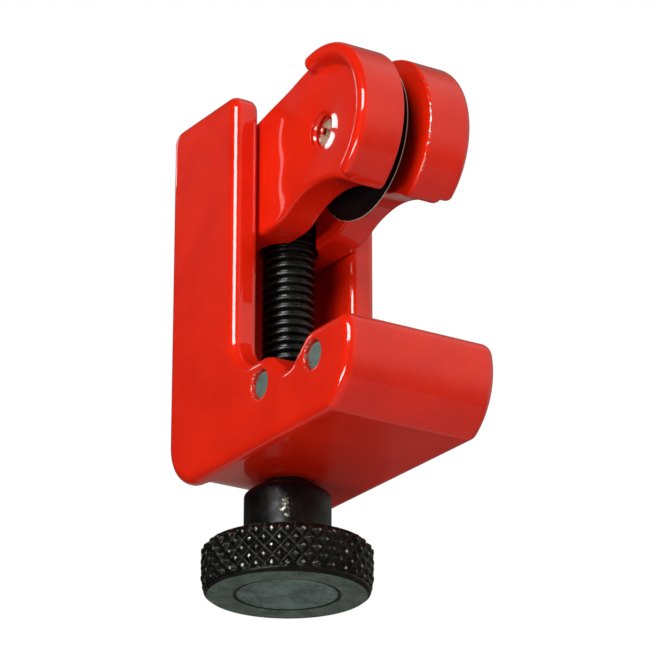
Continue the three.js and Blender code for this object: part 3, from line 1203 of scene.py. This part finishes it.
    def wheel(self) -> Piece:
        """The cutting wheel: a hub with a bore, and a disc that thins to a ground edge.

        Returns:
            The wheel.
        """
        r, hub, bore, half = self.wheel_r, self.wheel_hub_r, self.axle_hole_r, self.wheel_half
        web = 0.62
        line = [
            (bore, -half), (hub - 0.3, -half), (hub + 0.2, -web), (r - 1.5, -0.5), (r, -0.04),
            (r, 0.04), (r - 1.5, 0.5), (hub + 0.2, web), (hub - 0.3, half), (bore, half),
        ]
        vertices, faces = tube_grid(line, 256, 0.2, 0.05)
        crest = np.clip((np.hypot(vertices[:, 0], vertices[:, 1]) - (r - 0.06)) / 0.05, 0, 1)
        piece = new_piece("wheel_blade", laid_across(vertices, self.wheel_x, self.wheel_z), faces)
        paint_mask(piece, "crest", crest)
        paint_mask(piece, "end_face", np.zeros(len(vertices)))
        return piece

    def axle_distance(self, x: Array, y: Array, z: Array) -> Array:
        """Signed distance to the axle screw: a head, a plain shank, a threaded end, a tip slot and a hexagon socket.

        Args:
            x: X of the points.
            y: Y of the points.
            z: Z of the points.

        Returns:
            Signed distance.
        """
        dx, dz = x - self.wheel_x, z - self.wheel_z
        away = np.hypot(dx, dz)
        tip, shoulder, top = self.axle_tip_y, self.axle_shoulder_y, self.axle_top_y
        around = np.arctan2(dz, dx)
        ridge = 0.1 * np.cos(TURN * y / self.pitch - around)
        thin = round_overlap(away - self.tip_r + 0.1 - ridge, tip - y, 0.25)
        thick = np.maximum(away - self.axle_r, -self.wheel_half - y)
        shank = np.maximum(np.minimum(thin, thick), y - shoulder)
        head = round_overlap(away - self.axle_head_r, y - top, 0.45)
        head = round_overlap(head, shoulder - 0.25 - y, 0.15)
        screw = round_join(shank, head, 0.15)
        slot = np.maximum(np.abs(dx * 0.5 + dz * 0.866) - 0.4, y - tip - 0.7)
        screw = round_cut(screw, slot, 0.1)
        hexagon = np.maximum(np.abs(dz), np.abs(dz) * 0.5 + np.abs(dx) * 0.866) - 1.5
        return round_cut(screw, np.maximum(hexagon, top - 1.3 - y), 0.12)

    def axle_screw(self) -> Piece:
        """The screw that the wheel turns on, with its head sunk in the far cheek and its slotted tip in the near one.

        Returns:
            The screw.
        """
        r = self.axle_head_r
        low = (self.wheel_x - r, self.axle_tip_y, self.wheel_z - r)
        high = (self.wheel_x + r, self.axle_top_y, self.wheel_z + r)
        piece = new_piece("axle_screw", *shell(self.axle_distance, low, high, 0.13))
        paint_mask(piece, "crest", np.zeros(len(piece.data.vertices)))
        return piece


@dataclass
class FeedDrive:
    """The knurled knob with its hub, and the feed screw that it turns."""

    knob_r: float = 9.5
    disc_h: float = 5.6
    chamfer: float = 0.4
    barrel: float = 0.3
    hub_r: float = 4.85
    hub_top: float = 11.9
    hub_chamfer: float = 0.6
    neck_r: float = 3.3
    neck_top: float = 12.5
    bore_r: float = 2.5
    bore_floor: float = 4.0
    knurls: int = 34
    knurl_pitch: float = 1.9
    knurl_depth: float = 0.42
    plain_band: float = 0.12
    top_ease: float = 0.6
    step_r: float = 5.8
    step_depth: float = 0.1
    thread_r: float = 3.0
    thread_depth: float = 0.6
    thread_from: float = 23.4
    turns: int = 25
    journal_r: float = 2.2

    def knob(self) -> Piece:
        """The knob, from the middle of its end face up the outside and down its bore.

        Formula: a turned profile, whose radius on the rim falls along two crossing families of helical V grooves, the
        lesser of the two heights giving small diamonds, which fade out at the plain band and the top edge.

        Returns:
            The knob.
        """
        around = self.knurls * 14
        r = self.knob_r
        low = [
            (0.0, self.step_depth), (self.step_r - 0.3, self.step_depth), (self.step_r - 0.15, self.step_depth + 0.12),
            (self.step_r, self.step_depth + 0.12), (self.step_r + 0.25, 0.0), (r - self.barrel - 0.45, 0.0),
            (r - self.barrel - 0.05, self.chamfer - 0.1), (r - self.barrel, self.chamfer + 0.1),
        ]
        rim = [(r - self.barrel, self.chamfer + 0.1), (r - 0.08, 1.2), (r, 2.0), (r, self.disc_h - self.top_ease)]
        high = [
            (r, self.disc_h - self.top_ease), (r - self.top_ease, self.disc_h),
            (self.hub_r + 0.1, self.disc_h), (self.hub_r, self.disc_h + 0.15),
            (self.hub_r, self.hub_top - self.hub_chamfer), (self.hub_r - self.hub_chamfer, self.hub_top),
            (self.neck_r + 0.1, self.hub_top), (self.neck_r, self.hub_top + 0.1), (self.neck_r, self.neck_top),
            (self.bore_r, self.neck_top), (self.bore_r, self.bore_floor), (0.0, self.bore_floor),
        ]
        rows = np.concatenate(
            [
                resampled(eased(low, 0.08), 0.4)[1:],
                resampled(rim, 0.1)[1:-1],
                resampled(eased(high, 0.25), 0.35)[:-1],
            ]
        )
        angle = np.arange(around) / around * self.knurls
        rise = rows[:, 1:] / self.knurl_pitch
        first = 1 - np.abs(2 * np.mod(angle + rise, 1.0) - 1)
        second = 1 - np.abs(2 * np.mod(angle - rise, 1.0) - 1)
        height = np.clip(np.minimum(first, second) * 1.35, 0, 1)
        band = self.chamfer + self.plain_band
        on_rim = (rows[:, :1] > r - self.top_ease - 0.1) * np.clip((rows[:, 1:] - band) / 0.25, 0, 1)
        on_rim = on_rim * np.clip((self.disc_h + 0.15 - rows[:, 1:]) / 0.2, 0, 1)
        radius = rows[:, :1] - self.knurl_depth * (1 - height) * on_rim
        vertices, faces = turned_grid(radius, np.broadcast_to(rows[:, 1:], radius.shape), around)
        piece = new_piece("knurled_knob", vertices, faces)
        # Crest mask: the knurl tips, lightened partly for wear and partly as painted glints; the hub's top edge and the
        # end face's outer corner, for wear.
        crest = on_rim * np.clip((height - 0.75) * 4, 0, 1)
        hub_edge = np.abs(rows[:, 1:] - self.hub_top + 0.4) < 0.6
        hub_edge = hub_edge * (rows[:, :1] < self.hub_r + 0.1) * (rows[:, :1] > 3.9)
        corner = (np.abs(rows[:, 1:]) < 0.1) * (np.abs(rows[:, :1] - r + self.barrel + 0.45) < 0.15)
        # A painted highlight: a soft upright streak on the middle of the hub, on the side that faces the camera, 0.6
        # radians clockwise of +X.
        turned = TURN * np.arange(around) / around
        off = np.mod(turned + 0.6 + math.pi, TURN) - math.pi
        lightened = np.exp(-((off / 0.17) ** 2)) * np.exp(-(((rows[:, 1:] - 8.6) / 2.0) ** 2))
        crest = np.clip(crest + 0.3 * hub_edge + 0.6 * corner + 1.15 * lightened, 0, 1) * np.ones_like(radius)
        paint_mask(piece, "crest", np.concatenate([crest.ravel(), [0.0, 0.0]]))
        for name, limit in (("end_face", r - 0.7), ("brushed", self.step_r - 0.1)):
            within = np.broadcast_to((rows[:, 1:] < 0.13) & (rows[:, :1] < limit), radius.shape).astype(float)
            paint_mask(piece, name, np.concatenate([within.ravel(), [1.0, 0.0]]))
        return piece

    def screw(self) -> Piece:
        """The feed screw, with a right-hand thread above a plain end.

        Formula: at each height and angle the radius is the root's plus the thread's, a flat-topped wave of the height
        in turns less the angle in turns, so that a crest climbs one pitch in each turn anticlockwise from above.

        Returns:
            The screw.
        """
        around, steps = 96, 14
        top = self.thread_from + self.turns
        root = self.thread_r - self.thread_depth
        foot = self.bore_floor + 0.3
        plain = resampled([(0.0, foot), (self.journal_r, foot), (self.journal_r, self.thread_from - 0.05)], 1.0)[1:]
        height = np.concatenate([plain[:, 1], np.linspace(self.thread_from, top - 0.02, self.turns * steps), [top]])
        core = np.concatenate([plain[:, 0], np.full(self.turns * steps, root), [root - 0.5]])
        angle = np.arange(around) / around
        wave = np.cos(TURN * (height[:, None] - angle))
        ridge = np.clip(0.5 + 0.72 * wave, 0, 1)
        ridge = ridge * ridge * (3 - 2 * ridge)
        threaded = (height > self.thread_from - 0.01)[:, None] * np.clip((top - height) / 0.5, 0, 1)[:, None]
        radius = core[:, None] + self.thread_depth * ridge * threaded
        vertices, faces = turned_grid(radius, np.broadcast_to(height[:, None], radius.shape), around)
        piece = new_piece("feed_screw_threaded", vertices, faces)
        crest = np.clip((ridge - 0.8) * 5, 0, 1) * threaded * np.ones_like(radius)
        paint_mask(piece, "crest", np.concatenate([crest.ravel(), [0.0, 0.0]]))
        paint_mask(piece, "end_face", np.zeros(radius.size + 2))
        return piece

    def build(self, finishes: dict[Finish, Material]) -> None:
        """Builds the knob and the screw.

        Args:
            finishes: The material of each finish.
        """
        place_piece(self.knob(), finishes[Finish.KNOB], "feed", "knob")
        place_piece(self.screw(), finishes[Finish.SCREW], "feed", "feed_screw")


# ---------------------------------------------------------------- studio
@dataclass(frozen=True)
class Softbox:
    """A rectangular studio lamp that faces the cutter and hides from the camera.

    Its direction is the unit vector from the cutter towards it, in the part's frame.
    """

    name: str
    direction: tuple[float, float, float]
    distance: float
    width: float
    height: float
    watts: float
    aim: tuple[float, float, float] = (6.0, 0.0, 30.0)

    def build(self) -> None:
        """Makes the lamp."""
        lamp = bpy.data.lights.new(self.name, "AREA")
        lamp.shape = "RECTANGLE"
        lamp.size, lamp.size_y = self.width * MM, self.height * MM
        lamp.energy = self.watts
        towards = Vector(self.direction).normalized()
        stand = bpy.data.objects.new(self.name, lamp)
        stand.location = (Vector(self.aim) + towards * self.distance) * MM
        stand.rotation_euler = towards.to_track_quat("Z", "Y").to_euler()
        stand.visible_camera = False
        bpy.context.scene.collection.objects.link(stand)


@dataclass
class Studio:
    """The pale floor, the soft lamps, the even surroundings and the camera."""

    floor_z: float = -300.0
    floor_half: float = 450.0
    lens: float = 192.0
    target: tuple[float, float, float] = (7.762, 0.562, 28.696)
    distance: float = 388.787
    azimuth: float = 57.302
    elevation: float = -21.398
    floor_glow: float = 0.42
    floor_mirrored: float = 0.15
    pale: float = 0.62
    beyond: float = 0.22
    low_share: float = 0.22
    dim: float = 0.025
    fill: float = 0.75
    fill_dim: float = 0.06
    fill_to: tuple[float, float] = (130.0, 170.0)
    pale_from: tuple[float, float] = (-35.0, 15.0)
    pale_to: tuple[float, float] = (146.2, 146.45)
    pale_fade: tuple[float, float] = (70.0, 128.0)
    beyond_from: tuple[float, float] = (148.55, 148.85)
    beyond_to: tuple[float, float] = (160.0, 178.0)
    room: tuple[float, float, float, float] = (1.0, 0.95, 0.86, 1.0)
    lamps: tuple[Softbox, ...] = (
        Softbox("key_upper", (0.484, -0.775, 0.407), 450, 210, 150, 1.55),
        Softbox("key_lower", (0.296, -0.909, -0.292), 450, 210, 75, 0.66),
        Softbox("rear_high", (-0.8319, -0.2712, 0.4842), 450, 40, 28, 0.022, aim=(17.0, -5.5, 46.7)),
        Softbox("rear_low", (-0.8622, -0.2953, 0.411), 450, 40, 28, 0.022, aim=(17.7, -5.5, 48.6)),
    )

    def build(self) -> None:
        """Sets the floor, lamps, surroundings and camera."""
        self._floor()
        for lamp in self.lamps:
            lamp.build()
        self._surroundings()
        self._camera()
        bpy.context.scene.view_settings.view_transform = "Standard"

    def _floor(self) -> None:
        """A square sheet far below the cutter."""
        s, z = self.floor_half, self.floor_z
        corners = np.array([[-s, -s, z], [s, -s, z], [s, s, z], [-s, s, z]])
        floor = new_piece("studio_floor", corners, [[0, 1, 2, 3]])
        material, sheet, shader = start_finish("floor_paper")
        tone = sheet.ramp(sheet.noise(3.0), 0.3, 0.7)
        seen = sheet.add("ShaderNodeLightPath").outputs["Is Camera Ray"]
        sheet.feed(sheet.blend(tone, srgb(118, 118, 118), srgb(124, 124, 124)), shader, "Base Color")
        shader.inputs["Emission Color"].default_value = (1, 1, 1, 1)
        mirrored = sheet.add("ShaderNodeLightPath").outputs["Is Glossy Ray"]
        glow = sheet.maths("MULTIPLY_ADD", mirrored, self.floor_mirrored - self.floor_glow, self.floor_glow)
        strength = sheet.maths("ADD", sheet.maths("MULTIPLY", seen, 1 - self.floor_glow), glow)
        sheet.feed(strength, shader, "Emission Strength")
        shader.inputs["Roughness"].default_value = 0.9
        floor.data.materials.append(material)

    def _surroundings(self) -> None:
        """White behind the cutter, and a dimmer even room for light and reflections."""
        world = bpy.data.worlds.new("studio_room")
        bpy.context.scene.world = world
        world.use_nodes = True
        world.node_tree.nodes.clear()
        sheet = Sheet(world.node_tree)
        seen = sheet.add("ShaderNodeLightPath").outputs["Is Camera Ray"]
        even = sheet.add("ShaderNodeLightPath").outputs["Is Diffuse Ray"]
        way = sheet.add("ShaderNodeSeparateXYZ", {0: sheet.add("ShaderNodeTexCoord").outputs["Generated"]})
        turn = sheet.maths("ARCTAN2", way.outputs[1], way.outputs[0])
        degrees = sheet.maths("MULTIPLY", turn, 180 / math.pi)
        height = sheet.ramp(way.outputs[2], -0.42, 0.12, self.low_share, 1.0)
        front, back = sheet.ramp(degrees, *self.pale_from), sheet.ramp(degrees, *self.pale_to, 1.0, 0.0)
        front = sheet.maths("MULTIPLY", front, back)
        front = sheet.maths("MULTIPLY", front, sheet.ramp(degrees, *self.pale_fade, 1.0, 0.22))
        front = sheet.maths("MULTIPLY", sheet.maths("MULTIPLY", front, height), self.pale)
        begun, over = sheet.ramp(degrees, *self.beyond_from), sheet.ramp(degrees, *self.beyond_to, 1.0, 0.0)
        beyond = sheet.maths("MULTIPLY", begun, over)
        mirrored = sheet.maths("ADD", sheet.maths("MULTIPLY_ADD", beyond, self.beyond, front), self.dim)
        spread = sheet.maths("MULTIPLY_ADD", sheet.ramp(degrees, *self.pale_from), self.fill, self.fill_dim)
        spread = sheet.maths("MULTIPLY", spread, sheet.ramp(degrees, *self.fill_to, 1.0, 0.25))
        level = sheet.between(even, mirrored, spread)
        room = sheet.add("ShaderNodeBackground", {"Color": self.room, "Strength": level})
        white = sheet.add("ShaderNodeBackground", {"Color": (1, 1, 1, 1), "Strength": 1.0})
        both = sheet.add("ShaderNodeMixShader", {0: seen, 1: room.outputs[0], 2: white.outputs[0]})
        sheet.add("ShaderNodeOutputWorld", {"Surface": both.outputs[0]})

    def _camera(self) -> None:
        """The camera, below and in front of the near side, looking up at the cutter."""
        a, e = math.radians(self.azimuth), math.radians(self.elevation)
        away = Vector((math.sin(a) * math.cos(e), -math.cos(a) * math.cos(e), math.sin(e)))
        data = bpy.data.cameras.new("studio_camera")
        data.lens = self.lens
        data.sensor_width = 36.0
        data.clip_start, data.clip_end = 0.01, 20.0
        camera = bpy.data.objects.new("studio_camera", data)
        camera.location = (Vector(self.target) + away * self.distance) * MM
        camera.rotation_euler = (-away).to_track_quat("-Z", "Y").to_euler()
        bpy.context.scene.collection.objects.link(camera)
        bpy.context.scene.camera = camera


def main() -> None:
    """Builds the finishes, the sub-assemblies and the studio; each piece's face count is logged."""
    logging.basicConfig(level=logging.INFO, format="%(name)s %(message)s")
    effects = Effects()
    finishes = {finish: finish.value.build(effects) for finish in Finish}
    for assembly in (CastFrame(), Carriage(), FeedDrive()):
        assembly.build(finishes)
    Studio().build()


if __name__ == "__main__":
    main()
